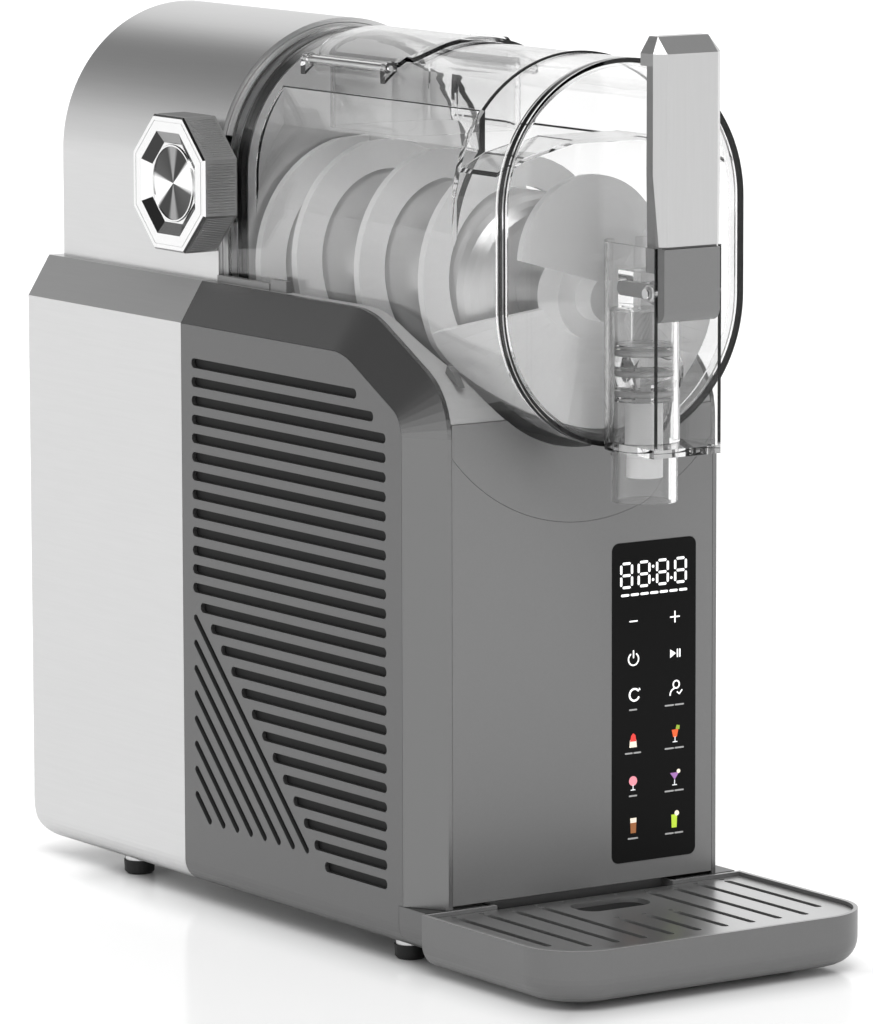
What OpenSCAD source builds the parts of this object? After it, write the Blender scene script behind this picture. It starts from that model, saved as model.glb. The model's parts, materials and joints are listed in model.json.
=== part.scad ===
// Countertop slush machine: a refrigerated drum turned over by a helical auger inside a clear
// pull-off vessel, with a lever tap at the front and a removable drip tray.
//
// Every sub-part is drawn from the front plane of the fascia (y = 0) and from the table (z = 0).
// at_face() then moves it so that the origin lies under the middle of the machine.

/* [Body] */
// Width over the two side panels
body_w = 190; // [180:1:200]
// Depth from the fascia to the back panel
body_depth = 382; // [376:1:390]
// Height of the deck that carries the rear housing
deck_top = 324.5; // [322:0.5:327]
// Gap between the table and the underside of the body
foot_h = 9.5; // [8:0.5:11]
// Wall thickness of the body panels
skin = 2.4; // [2:0.1:2.8]
// Where the dark front panels meet the light rear cover
split_y = 226.9; // [224:0.1:230]
// Width of the bevel round each side panel, seen from the side
bevel_run = 21; // [18:0.5:23]
// Depth of that bevel across the machine
bevel_in = 13.2; // [11:0.1:15]
// Slope of the deck down to the fascia
deck_slope = 27.9; // [26:0.1:30]

/* [Side vents] */
// Number of long horizontal slots on each side
slot_count = 26; // [20:1:26]
// Distance from one slot to the next
slot_pitch = 9.76; // [9:0.01:9.8]
// Height of a slot
slot_h = 5.1; // [4:0.1:5.6]
// Number of diagonal slots in the lower rear corner
diagonal_count = 8; // [5:1:8]

/* [Vessel] */
// Height of the auger axis above the table
axis_z = 333; // [332:0.5:334]
// Outer radius of the vessel round the auger
vessel_r = 72.3; // [71.6:0.1:72.4]
// Outer radius of the vessel's vaulted top
vault_r = 72.3; // [72:0.1:72.6]
// Height of the vault's centre line
vault_z = 380.4; // [379:0.1:382]
// Wall thickness of the clear parts
clear_wall = 2.4; // [2:0.1:2.8]
// Half width of the vault between the two side recesses
vault_half = 55.5; // [54:0.5:57]

/* [Auger and drum] */
// Radius of the chilled drum
drum_r = 48; // [46:0.5:48.4]
// Outer radius of the auger's flight
flight_r = 65; // [60:0.5:66]
// Pitch of the flight
flight_pitch = 58; // [50:1:62]
// Thickness of the flight
flight_t = 5; // [4:0.5:6]

/* [Tap] */
// Distance of the tap tube in front of the fascia
tap_y = 51.8; // [51.5:0.1:52.5]
// Bore radius of the tap tube
tube_r = 14.5; // [14.4:0.1:14.8]
// Height of the lever's pivot
pivot_z = 342; // [341:0.5:343]

/* [Drip tray] */
// Distance that the tray reaches in front of the fascia
tray_front = 119; // [110:1:122]
// Height of the tray's rim
tray_rim = 30.8; // [29:0.1:31]
// How much wider than the body the tray is on each side
tray_wider = 2.6; // [0:0.1:4]
// Distance between the slots of the grate
grate_pitch = 16.4; // [16:0.1:16.6]

/* [Hidden] */
$fn = 96;

face_y = (tray_front - body_depth) / 2;
half_w = body_w / 2;
foot_x = 78;
seam = 0.2;                      // gap left at each joint between two panels
wrap_in = half_w - bevel_in - 2.4;  // how far in the side panels wrap round the front
skirt_top = 31;
bottom_fillet = 12;
corner_low = 36;                 // bend between the fascia and the sloping deck
corner_high = 60;                // bend between the sloping and the level deck
face_corner_z = 288.2;           // where the slope would meet the fascia
collar_z = 273.7;
collar_arc_r = 102;
collar_arc_z = 321.2;
trough_r = vault_r + 1.2;
trough_z = axis_z - 2.5;           // the vessel keeps clear of the trough underneath
fascia_z = 33;

housing_front = 218.8;
housing_back = 374.9;
housing_r = 76.7;
housing_z = 380.9;
gearbox_y = 238.8;
bulkhead_t = 4;
boss_len = 11;

notch_front = 7.3;               // front and back of the recesses beside the vault
gasket_t = 1.6;
notch_back = 191.2;
shoulder_z = 360.5;              // top centre of the drum part of the vessel
vessel_back = housing_front - bulkhead_t - 0.6;
cap_front = -34.9;
cap_t = 3;
vessel_front = cap_front + cap_t + gasket_t;
roof_z = 413;
lid_hinge = [-46, 440.6];
lid_r = vault_r + 0.3;
lid_t = 2.2;
port_front = 99;
port_back = 180;
port_half = 38;

flight_in = drum_r + 1.5;
drum_back = housing_front - bulkhead_t - boss_len - 0.2;
flight_start = 46.4;             // y of the flight nearest to the front, on the knob's side
flight_sweep = 1194;             // angle that the flight turns through
flight_tighten = 23;             // how far the rear turn is drawn together, against the bulkhead
scoop_start = 197;
scoop_y = -14;
paddle_y = -19.5;
shaft_r = 6;
running = 0.05;                  // radial clearance of a shaft that turns in a bore
drum_front = 30;

tube_t = 2.8;
tap_half = 20;
cheek_t = 2;
tap_front = -87.5;
tap_bottom = 262;
tap_top = 364.5;
spout_bottom = 236;
pivot_y = -79.5;
pin_r = 2.5;
lever_arm = pivot_y + tap_y;     // negative: the plunger sits behind the pivot
link_r = 2;

knob_y = 234.9;
knob_z = 375.1;
knob_flats = 70;
knob_face = -half_w - 2;
dish_flats = 53;
dish_depth = 3.2;
disc_r = 20;
disc_t = 2;

panel_box = [17.2, 43.2, 68.8, 206.2];

tray_corner = 31;
tray_half = half_w + tray_wider;
grate_top = tray_rim - 2;
grate_t = 2.6;
tray_back = 0.5;

fan_y = 128;
fan_z = 118;

// ---- helpers ----

module at_face() translate([0, face_y, 0]) children();

// Extrudes a shape drawn in X and Z along Y, from y0 to y1.
module along_y(y0, y1) translate([0, y1, 0]) rotate([90, 0, 0]) linear_extrude(y1 - y0) children();

// Extrudes a shape drawn in Y and Z along X, from x0 to x1.
module along_x(x0, x1)
    translate([x0, 0, 0]) rotate([90, 0, 90]) linear_extrude(x1 - x0) children();

module rod_y(x, z, r, y0, y1) along_y(y0, y1) translate([x, z]) circle(r);

module rod_x(y, z, r, x0, x1) along_x(x0, x1) translate([y, z]) circle(r);

module rod_z(x, y, r, z0, z1) translate([x, y, z0]) cylinder(r = r, h = z1 - z0);

module block(lo, hi) translate(lo) cube(hi - lo);

module both_sides() {
    children();
    mirror([1, 0, 0]) children();
}

// A rectangle with round corners, from its lower left to its upper right corner.
module rounded(lo, hi, r) {
    translate(lo + [r, 0]) square([hi[0] - lo[0] - 2 * r, hi[1] - lo[1]]);
    translate(lo + [0, r]) square([hi[0] - lo[0], hi[1] - lo[1] - 2 * r]);
    for (x = [lo[0] + r, hi[0] - r], y = [lo[1] + r, hi[1] - r]) translate([x, y]) circle(r);
}

// A slot with round ends of width w from point a to point b.
module slot(a, b, w) {
    run = b - a;
    translate(a) rotate(atan2(run[1], run[0])) {
        translate([0, -w / 2]) square([norm(run), w]);
        circle(w / 2, $fn = 24);
        translate([norm(run), 0]) circle(w / 2, $fn = 24);
    }
}

// The points of a bend of radius r at corner p between directions d0 (in) and d1 (out).
function bend(p, d0, d1, r, steps = 8) =
    let (turn = atan2(d0[0] * d1[1] - d0[1] * d1[0], d0 * d1),
         side = turn > 0 ? 1 : -1,
         reach = r * tan(abs(turn) / 2),
         normal = side * [-d0[1], d0[0]],
         centre = p - reach * d0 + r * normal)
    [for (i = [0 : steps])
        let (a = turn * i / steps)
        centre + r * [-normal[0] * cos(a) + normal[1] * sin(a),
                      -normal[1] * cos(a) - normal[0] * sin(a)]];

// ---- lower body ----

// Side outline of the body in Y and Z, moved inwards by e on every side but the back.
function slope_z(y, e) = face_corner_z + y * tan(deck_slope) - e / cos(deck_slope);
function slope_y(z, e) = (z - slope_z(0, e)) / tan(deck_slope);

module side_outline(e, back, low = foot_h, back_r = 0) {
    polygon(concat(outline_path(e, back, low), back_r > 0
        ? bend([back, low], [0, -1], [-1, 0], back_r)
        : [[back, low]]));
}

// The open run of that outline: up the front, over the slope and back along the deck.
function outline_path(e, back, low) =
    let (along = [cos(deck_slope), sin(deck_slope)], top = deck_top - e)
    concat(
        [[e, low]],
        bend([e, slope_z(e, e)], [0, 1], along, corner_low - e),
        bend([slope_y(top, e), top], along, [1, 0], corner_high - e),
        [[back, top]]
    );

// Wall of the body in X and Z: upright sides and round bottom edges, moved inwards by t.
module cross_outline(t) {
    w = half_w - t;
    low = foot_h + t;
    r = bottom_fillet - t;
    polygon(concat(
        [[w, deck_top], [-w, deck_top]],
        bend([-w, low], [0, -1], [1, 0], r),
        bend([w, low], [1, 0], [0, 1], r)
    ));
}

// The same with the two top edges bevelled.
module bevelled_outline(t) {
    intersection() {
        cross_outline(t);
        polygon([[-half_w + t, 0], [half_w - t, 0], [half_w - t, deck_top - bevel_run],
                 [half_w - bevel_in - t * 0.6, deck_top - t],
                 [-half_w + bevel_in + t * 0.6, deck_top - t],
                 [-half_w + t, deck_top - bevel_run]]);
    }
}

function slot_z(i) = 283.8 - i * slot_pitch;
function slot_front(i) = i == 0 ? 61.4 : i == 1 ? 46.2 : 35.2;
function slot_back(i) = i < 13 ? 216.8 : 209.6 - (i - 13) * slot_pitch;

// The pattern of air slots in a side panel, drawn in Y and Z.
module vent_pattern() {
    inset = slot_h / 2;
    for (i = [0 : slot_count - 1])
        slot([slot_front(i) + inset, slot_z(i)], [slot_back(i) - inset, slot_z(i)], slot_h);
    diagonal_low = 45.5;
    for (i = [0 : diagonal_count - 1]) {
        top = 150.7 - i * 13.3;
        drop = top - diagonal_low;
        slot([214.4, top], [214.4 - drop, diagonal_low], 3.8);
    }
}

module side_panel() {
    difference() {
        intersection() {
            along_y(bevel_run, split_y - seam) difference() {
                cross_outline(0);
                cross_outline(skin);
                translate([-88, 0]) square([300, 400]);
            }
            union() {
                along_x(-100, -80) side_outline(bevel_run + seam, split_y, skirt_top + seam);
                block([-100, 25, 0], [-80, split_y, 40]);
            }
        }
        along_x(-100, -half_w + skin + 1) vent_pattern();
    }
}

// The bevel between a side panel and the front, the slope and the deck: one band of constant
// section that follows the outline. Each station has five points across the band.
function band_station(i, rings) = [
    [-wrap_in, rings[0][i][0], rings[0][i][1]],
    [-half_w + bevel_in, rings[0][i][0], rings[0][i][1]],
    [-half_w, rings[2][i][0], rings[2][i][1]],
    [-half_w + skin, rings[2][i][0], rings[2][i][1]],
    [-wrap_in, rings[1][i][0], rings[1][i][1]]
];

module bevel_band() {
    back = split_y - seam;
    low = skirt_top + seam;
    rings = [outline_path(0, back, low), outline_path(skin, back, low),
             outline_path(bevel_run, back, low)];
    count = len(rings[0]) - 1;
    points = [for (i = [0 : count]) each band_station(i, rings)];
    sides = [for (i = [0 : count - 1], k = [0 : 4])
        let (a = 5 * i + k, b = 5 * i + (k + 1) % 5) each [[a, b, b + 5], [a, b + 5, a + 5]]];
    last = 5 * count;
    ends = [[0, 4, 3], [0, 3, 2], [0, 2, 1], [last, last + 1, last + 2],
            [last, last + 2, last + 3], [last, last + 3, last + 4]];
    polyhedron(points, concat(sides, ends));
}

module left_side_panel() color("dimgray") at_face() side_panel();

module left_bevel() color("dimgray") at_face() bevel_band();

module right_bevel() color("dimgray") at_face() mirror([1, 0, 0]) bevel_band();

module right_side_panel() color("dimgray") at_face() mirror([1, 0, 0]) side_panel();

// The full-width foot of the body in front, with a pocket for the tray's tongue.
module front_skirt() {
    color("dimgray") at_face() difference() {
        along_y(1.5, 24.8) intersection() {
            cross_outline(0);
            translate([-half_w, 0]) square([body_w, skirt_top]);
        }
        block([-half_w + 4, 15, foot_h + 3], [half_w - 4, 30, skirt_top - 3]);
        block([-58, 0, 0], [58, 12.5, skirt_top + 1]);
    }
}

module fascia() {
    color("gray") at_face() difference() {
        block([-wrap_in + seam, 0, fascia_z], [wrap_in - seam, skin, collar_z - seam]);
        rod_y(0, collar_arc_z, collar_arc_r, -1, skin + 1);
        along_y(-1, 1.4) rounded(
            [panel_box[0] - 0.1, panel_box[1] - 0.1], [panel_box[2] + 0.1, panel_box[3] + 0.1], 4.1);
        along_y(-1, skin + 1) rounded(
            [panel_box[0] + 3, panel_box[1] + 3], [panel_box[2] - 3, panel_box[3] - 3], 2);
    }
}

// The crescent under the vessel, between the fascia and the sloping deck.
module cradle_collar() {
    color("gray") at_face() difference() {
        intersection() {
            block([-wrap_in + seam, 0, 200], [wrap_in - seam, skin, collar_z - seam]);
            rod_y(0, collar_arc_z, collar_arc_r - seam, -1, skin + 1);
        }
        rod_y(0, trough_z, trough_r, -1, skin + 1);
    }
}

// The deck beside the vessel, with the trough that the vessel lies in.
module drum_cradle() {
    inner = wrap_in - seam;
    back = split_y - seam;
    low = 250;
    color("gray") at_face() difference() {
        along_x(-inner, inner) side_outline(0, back, low);
        rod_y(0, trough_z, trough_r, -1, split_y + 1);
        difference() {
            along_x(-inner - 1, inner + 1) side_outline(skin, back + 5, low - 10);
            rod_y(0, trough_z, trough_r + skin, -10, split_y + 10);
        }
        block([-100, -1, low - 1], [100, skin + seam, collar_z]);
        // Behind the bulkhead the trough ends and the deck stays open for the drive.
        block([-77, housing_front - seam, low - 1], [77, split_y + 1, deck_top - skin]);
    }
}

// The light cover over the back of the machine: both sides and the level deck.
module rear_cover() {
    bottom_r = 20;
    color("lightgray") at_face() difference() {
        intersection() {
            along_y(split_y, body_depth) bevelled_outline(0);
            along_x(-100, 100) side_outline(0, body_depth, foot_h, bottom_r);
        }
        intersection() {
            along_y(split_y - 1, body_depth - skin) bevelled_outline(skin);
            along_x(-100, 100)
                side_outline(skin, body_depth - skin, foot_h + skin, bottom_r - skin);
        }
        // Opening for the back panel, air inlet underneath, and the way into the housing above.
        along_y(body_depth - skin - 1, body_depth + 1)
            rounded([-half_w + skin, 32], [half_w - skin, deck_top - bevel_run - 2], 8);
        block([-86, split_y - 1, foot_h - 1], [86, body_depth - 32, foot_h + 4]);
        block([-70, split_y - 1, deck_top - 5], [70, 366, deck_top + 1]);
    }
}

module back_panel() {
    edge = skin + 0.3;
    // The panel sits in the opening of the rear cover.
    color("lightgray") at_face() difference() {
        along_y(body_depth - skin, body_depth)
            rounded([-half_w + edge, 32.3], [half_w - edge, deck_top - bevel_run - 2.3], 7.7);
        along_y(300, body_depth + 1) {
            for (z = [190 : 10 : 290]) slot([-60, z], [60, z], 4.6);
            for (z = [60 : 10 : 90]) slot([0, z], [60, z], 4.6);
            translate([-62, 62]) square([28, 20.4]);
            for (x = [-84, 84], z = [42, 170, 292]) translate([x, z]) circle(1.7, $fn = 24);
            for (x = [-68, -28]) translate([x, 72.2]) circle(1.7, $fn = 24);
        }
    }
}

module panel_screws() {
    places = concat([for (x = [-84, 84], z = [42, 170, 292]) [x, z]],
                    [for (x = [-68, -28]) [x, 72.2]]);
    color("silver") at_face() for (p = places) {
        out = p[1] == 72.2 ? 1.6 : 0;
        rod_y(p[0], p[1], 1.6, body_depth - 8, body_depth + out);
        difference() {
            rod_y(p[0], p[1], 3, body_depth + out, body_depth + out + 1.6);
            rod_y(p[0], p[1], 1.2, body_depth + out + 0.8, body_depth + 4);
        }
    }
}

module power_inlet() {
    color("black") at_face() difference() {
        union() {
            along_y(body_depth, body_depth + 1.6) rounded([-72, 60], [-24, 84.4], 4);
            block([-61.7, body_depth - 18, 62.3], [-34.3, body_depth, 82.1]);
        }
        along_y(body_depth - 15, body_depth + 2) difference() {
            rounded([-59.5, 64.5], [-36.5, 80], 2);
            for (x = [-54, -48, -42]) translate([x - 1, 68]) square([2, 8]);
        }
        for (x = [-68, -28]) rod_y(x, 72.2, 1.7, body_depth - 1, body_depth + 3);
    }
}

module base_pan() {
    z0 = foot_h + skin + 0.2;
    color("darkgray") at_face() difference() {
        union() {
            along_z_plate(z0, z0 + 2, 84, 27, 350);
            both_sides() for (y = [40, 301]) rod_z(foot_x, y, 7.5, foot_h - 2, z0);
            for (p = mount_points()) rod_z(p[0], p[1], 7, z0 + 2, z0 + 4);
        }
        both_sides() for (y = [40, 301]) rod_z(foot_x, y, 2.5, 0, z0 + 3);
        for (p = mount_points()) rod_z(p[0], p[1], 3.05, z0 - 1, z0 + 5);
        for (x = [-40 : 10 : 40])
            translate([0, 0, z0 - 1]) linear_extrude(4) slot([x, 80], [x, 170], 5);
    }
}

module along_z_plate(z0, z1, half, y0, y1)
    translate([0, 0, z0]) linear_extrude(z1 - z0) rounded([-half, y0], [half, y1], 8);

module feet() {
    color("black") at_face() both_sides() for (y = [40, 301]) translate([foot_x, y, 0]) difference() {
        rotate_extrude() polygon([[0, 0], [6.5, 0], [8, 1.5], [8.3, foot_h - 2], [0, foot_h - 2]]);
        translate([0, 0, 2]) cylinder(r = 4, h = 20);
    }
}

// ---- rear housing ----

module obround(r, top, low) {
    translate([0, top]) circle(r);
    translate([0, low]) circle(r);
    translate([-r, low]) square([2 * r, top - low]);
}

// A vault of radius r that stands on the deck.
module vault(r, z, floor_z) {
    translate([0, z]) circle(r);
    translate([-r, floor_z]) square([2 * r, z - floor_z]);
}

module above(z) translate([-150, z]) square([300, 300]);

module deck_rails() {
    low = deck_top + 0.05;
    color("dimgray") at_face() both_sides() {
        block([-78, 168, low], [-74.6, 218, low + 3.5]);
        block([-78, 152, low], [-74.6, 167, low + 6]);
    }
}

// Small wedges on the slope beside the trough, which guide the vessel as it slides on.
module slope_guides() {
    on_slope = -0.05;
    raised = -4;
    color("dimgray") at_face() both_sides() along_x(-71.6, -68) polygon([
        [5, slope_z(5, on_slope)], [17, slope_z(17, on_slope)],
        [15.5, slope_z(15.5, raised)], [10.5, slope_z(10.5, raised)]
    ]);
}

module upper_housing() {
    color("lightgray") at_face() difference() {
        union() {
            difference() {
                along_y(housing_front, housing_back) intersection() {
                    vault(housing_r, housing_z, deck_top - 20);
                    above(deck_top);
                }
                along_y(housing_front - 1, housing_back - skin)
                    vault(housing_r - skin, housing_z, deck_top - 20);
            }
            rod_x(knob_y, knob_z, 12, -housing_r + 0.5, -housing_r + 6);
        }
        rod_x(knob_y, knob_z, 5 + running, -housing_r - 1, -housing_r + 8);
    }
}

// The wall behind the vessel: it closes the rear housing and carries the drum.
module bulkhead() {
    boss_r = vault_r - clear_wall - 3.4;
    front = housing_front - bulkhead_t;
    color("silver") at_face() difference() {
        union() {
            along_y(front, housing_front - seam) intersection() {
                obround(trough_r - seam, housing_z, trough_z);
                above(trough_z - trough_r);
            }
            along_y(housing_front - seam, housing_front + 3) intersection() {
                obround(housing_r - skin - 0.3, housing_z, axis_z);
                above(deck_top + 0.3);
            }
            along_y(front - boss_len, front) obround(boss_r, vault_z, axis_z);
        }
        rod_y(0, axis_z, 24, front - boss_len - 1, housing_front + 4);
        // Slot and pocket for the hook of the lock and for the vessel's catch.
        block([-80, front - 1, 355], [-65, housing_front + 4, 400]);
        block([-80, front - 5, 355], [-65, front + 1, 400]);
        along_y(front - boss_len + 1.2, front - boss_len + 5) difference() {
            obround(boss_r + 1, vault_z, axis_z);
            obround(boss_r - 2, vault_z, axis_z);
        }
    }
}

// ---- controls ----

module touch_panel() {
    color("black") at_face() along_y(-0.3, 1.35)
        rounded([panel_box[0], panel_box[1]], [panel_box[2], panel_box[3]], 4);
}

module display_module() {
    color("darkslategray") at_face() block([22, 1.4, 176], [64, 6.4, 198]);
}

module control_board() {
    color("green") at_face() difference() {
        block([14, 6.5, 40], [72, 8.1, 208]);
        for (x = [18, 68], z = [46, 202]) rod_y(x, z, 1.6, 6, 9);
    }
}

module power_board() {
    color("green") at_face() {
        block([-60, 360, 110], [50, 361.6, 175]);
        block([-50, 346, 120], [-22, 360, 150]);
        rod_y(10, 135, 10, 338, 360);
        rod_y(35, 150, 8, 344, 360);
        for (x = [-54, 44], z = [115, 170]) rod_y(x, z, 3, 361.6, body_depth - skin);
    }
}

// ---- refrigeration ----

function mount_points() = [for (a = [90 : 120 : 330]) [50 * cos(a), 270 + 50 * sin(a)]];

module compressor() {
    foot_z = foot_h + skin + 12.4;
    color("black") at_face() translate([0, 270, 0]) difference() {
        union() {
            rotate_extrude() polygon(concat(
                [[0, foot_z + 4]],
                bend([46, foot_z + 4], [1, 0], [0, 1], 12, 6),
                bend([46, 150], [0, 1], [-1, 0], 26, 10),
                [[0, 150]]
            ));
            translate([0, 0, foot_z]) for (a = [90 : 120 : 330]) rotate(a)
                linear_extrude(3) slot([20, 0], [50, 0], 18);
            translate([0, 0, foot_z]) cylinder(r = 34, h = 5);
        }
        for (a = [90 : 120 : 330]) rotate(a) translate([50, 0, foot_z - 1])
            cylinder(r = 3.05, h = 5);
    }
}

module compressor_mounts() {
    z0 = foot_h + skin + 4.2;
    color("dimgray") at_face() for (p = mount_points()) translate([p[0], p[1], z0])
        rotate_extrude() polygon([
            [0, -4], [3, -4], [3, 0], [6.5, 0], [5, 4], [6.5, 8.1], [3, 8.1], [3, 13], [0, 13]]);
}

module condenser_core() {
    color("silver") at_face() difference() {
        block([-86, 48, 34], [-60, 208, 202]);
        for (y = [51 : 4 : 203]) block([-84, y, 30], [-62, y + 2.6, 206]);
        for (z = condenser_rows()) for (x = [-79, -67]) rod_y(x, z, 4, 40, 215);
    }
}

function condenser_rows() = [for (i = [0 : 5]) 48 + 28 * i];

module condenser_tubes() {
    r = 3.9;
    color("peru") at_face() {
        for (x = [-79, -67]) {
            for (z = condenser_rows()) rod_y(x, z, r, 44, 212);
            for (i = [0 : 4]) {
                y = i % 2 == 0 ? 44 : 212;
                z = condenser_rows()[i] + 14;
                translate([x, y, z]) rotate([0, 90, 0]) rotate(i % 2 == 0 ? 180 : 0)
                    rotate_extrude(angle = 180) translate([14, 0]) circle(r, $fn = 32);
            }
        }
        // Bend that joins the two rows of tubes at the bottom.
        translate([-73, 212, condenser_rows()[0]]) rotate_extrude(angle = 180)
            translate([6, 0]) circle(r, $fn = 32);
    }
}

module fan_shroud() {
    color("dimgray") at_face() difference() {
        union() {
            along_x(-58, -55) rounded([fan_y - 72, fan_z - 78], [fan_y + 72, fan_z + 78], 6);
            rod_x(fan_y, fan_z, 66, -55, -34);
        }
        rod_x(fan_y, fan_z, 62, -59, -33);
    }
}

module fan_motor() {
    color("gray") at_face() difference() {
        union() {
            rod_x(fan_y, fan_z, 20, -32, -2);
            for (a = [45 : 90 : 315]) translate([-32, fan_y, fan_z]) rotate([a, 0, 0])
                block([0, 18, -4], [4, 67, 4]);
            for (a = [45 : 90 : 315]) translate([-34, fan_y, fan_z]) rotate([a, 0, 0])
                block([0, 63.2, -4], [2.2, 67, 4]);
        }
        rod_x(fan_y, fan_z, 3 + running, -33, -20);
    }
}

// Fan blades: flat plates set at an angle round a hub.
module fan_rotor() {
    color("white") at_face() translate([-45, fan_y, fan_z]) rotate([0, 90, 0]) {
        difference() {
            translate([0, 0, -8]) cylinder(r = 18, h = 18);
            translate([0, 0, 3]) cylinder(r = 14, h = 10);
        }
        translate([0, 0, 2]) cylinder(r = 3, h = 20);
        for (a = [0 : 60 : 300]) rotate(a) translate([17, 0, 0]) rotate([28, 0, 0])
            translate([0, -13, -1]) cube([41, 26, 2]);
    }
}

// A pipe of radius r through the listed points, with a ball at each corner.
module pipe(points, r) {
    for (i = [0 : len(points) - 2]) {
        d = points[i + 1] - points[i];
        turn = atan2(d[1], d[0]);
        tilt = acos(d[2] / norm(d));
        translate(points[i]) rotate([0, tilt, turn]) cylinder(r = r, h = norm(d), $fn = 32);
    }
    for (i = [1 : len(points) - 2]) translate(points[i]) sphere(r = r, $fn = 32);
}

module suction_line() {
    color("peru") at_face() pipe([
        [14, drum_back, 325], [14, 230, 325], [14, 230, 236], [14, 270, 236], [14, 270, 150]], 4);
}

module discharge_line() {
    color("peru") at_face() pipe([
        [-12, 262, 150], [-12, 262, 206], [-12, 240, 206], [-79, 240, 206], [-79, 240, 188],
        [-79, 212, 188]], 3);
}

module liquid_line() {
    color("peru") at_face() pipe([
        [-67, 212, 188], [-67, 230, 188], [-67, 230, 240], [-12, 230, 240], [-12, 230, 325],
        [-12, drum_back, 325]], 2.5);
}

// ---- drive and drum ----

module gearbox() {
    color("dimgray") at_face() difference() {
        along_y(gearbox_y, gearbox_y + 44) rounded([-42, axis_z - 48], [42, axis_z + 42], 10);
        rod_y(0, axis_z, shaft_r + running, gearbox_y - 1, gearbox_y + 32);
    }
}

module drive_motor() {
    y0 = gearbox_y + 44;
    color("silver") at_face() {
        rod_y(0, axis_z, 36, y0, y0 + 60);
        rod_y(0, axis_z, 14, y0 + 60, y0 + 66);
    }
}

module drive_shaft() {
    color("silver") at_face() {
        rod_y(0, axis_z, shaft_r, 8, gearbox_y + 30);
        along_y(-6, 8) translate([-4, axis_z - 4]) square(8);
    }
}

module shaft_seal() {
    color("black") at_face() difference() {
        rod_y(0, axis_z, 11.9, drum_front - 17, drum_front + 4);
        rod_y(0, axis_z, shaft_r + running, drum_front - 18, drum_front + 5);
    }
}

module evaporator_drum() {
    r = drum_r;
    back = drum_back;
    length = back - drum_front;
    nose = 18.5;
    nose_r = 21;
    color("silver") at_face() translate([0, back, axis_z]) rotate([90, 0, 0]) difference() {
        rotate_extrude() difference() {
            polygon(concat(
                [[0, 0], [r, 0]],
                bend([r, length], [0, 1], [-1, 0], 20),
                [[nose_r, length], [nose_r, length + nose], [0, length + nose]]
            ));
            polygon([[shaft_r + 4, 3], [r - 3, 3], [r - 3, length - 22], [shaft_r + 4, length - 22]]);
        }
        translate([0, 0, -1]) cylinder(r = shaft_r + running, h = length + nose + 2);
        translate([0, 0, length - 4]) cylinder(r = 12, h = nose + 8);
    }
}

// A closed ribbon through stations of [angle, inner radius, inner y, outer radius, outer y].
module ribbon(stations) {
    half = flight_t / 2;
    count = len(stations) - 1;
    points = [for (s = stations) each
        [for (p = [[s[1], s[2] - half], [s[3], s[4] - half], [s[3], s[4] + half], [s[1], s[2] + half]])
            [p[0] * cos(s[0]), p[1], axis_z + p[0] * sin(s[0])]]];
    sides = [for (i = [0 : count - 1], k = [0 : 3])
        let (a = 4 * i + k, b = 4 * i + (k + 1) % 4)
        each [[a, a + 4, b + 4], [a, b + 4, b]]];
    last = 4 * count;
    ends = [[0, 1, 2], [0, 2, 3], [last, last + 2, last + 1], [last, last + 3, last + 2]];
    polyhedron(points, concat(sides, ends));
}

// Y of the helical flight at angle a, where 180 degrees is the side of the lock knob. The pitch is
// constant, and tightens over the rear turn.
function flight_y(a) =
    let (turns = (180 - a) / 360, rear = max(0, turns - 2))
    flight_start + flight_pitch * turns - flight_tighten * rear * rear;

// Y of the outer and of the inner edge of the scoop, which runs from the flight to the paddle.
function ease(t) = (1 - cos(180 * min(max(t, 0), 1))) / 2;
function scoop_out(a) = flight_y(scoop_start)
    + (scoop_y - flight_y(scoop_start)) * ease((a - scoop_start) / 60)
    + (paddle_y - scoop_y) * ease((a - 300) / 80);
function scoop_in(a) = 6 - 11.5 * ease((a - scoop_start) / 60)
    + (paddle_y + 5.5) * ease((a - 300) / 80);

module auger() {
    hub_front = -8;
    hub_back = 10;
    hub_r = 22;
    paddle_r = 42;
    step = 6;
    color("white") at_face() difference() {
        union() {
            ribbon([for (i = [0 : flight_sweep / step])
                let (a = scoop_start + 4 - flight_sweep + i * step)
                [a, flight_in, flight_y(a), flight_r, flight_y(a)]]);
            ribbon([for (a = [scoop_start : step : 422])
                [a, hub_r - 3, scoop_in(a), flight_r - 15 * ease((a - 340) / 80), scoop_out(a)]]);
            rod_y(0, axis_z, hub_r, hub_front, hub_back);
            rod_y(0, axis_z, 12, paddle_y - 2, hub_front);
            // Paddle: a little more than a half disc, with its straight edge sloping down.
            along_y(paddle_y - 2.2, paddle_y + 2.2) translate([-11, axis_z + 20]) intersection() {
                circle(paddle_r);
                rotate(-15.8) translate([-60, -9.5]) square([120, 70]);
            }
        }
        along_y(-6.5, 40) translate([-4.1, axis_z - 4.1]) square(8.2);
        rod_y(0, axis_z, shaft_r + 0.3, 7.9, 40);
    }
}

// ---- vessel ----

// Cross-section of the vessel between its two ends, moved inwards by t.
module vessel_section(t) {
    r = vessel_r - t;
    obround(r, shoulder_z, axis_z);
    intersection() {
        translate([0, vault_z]) circle(vault_r - t);
        translate([-vault_half + t, axis_z]) square([2 * (vault_half - t), 150]);
    }
}

// Cross-section of its full ends.
module end_section(t) obround(vault_r - t, vault_z, axis_z);

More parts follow.
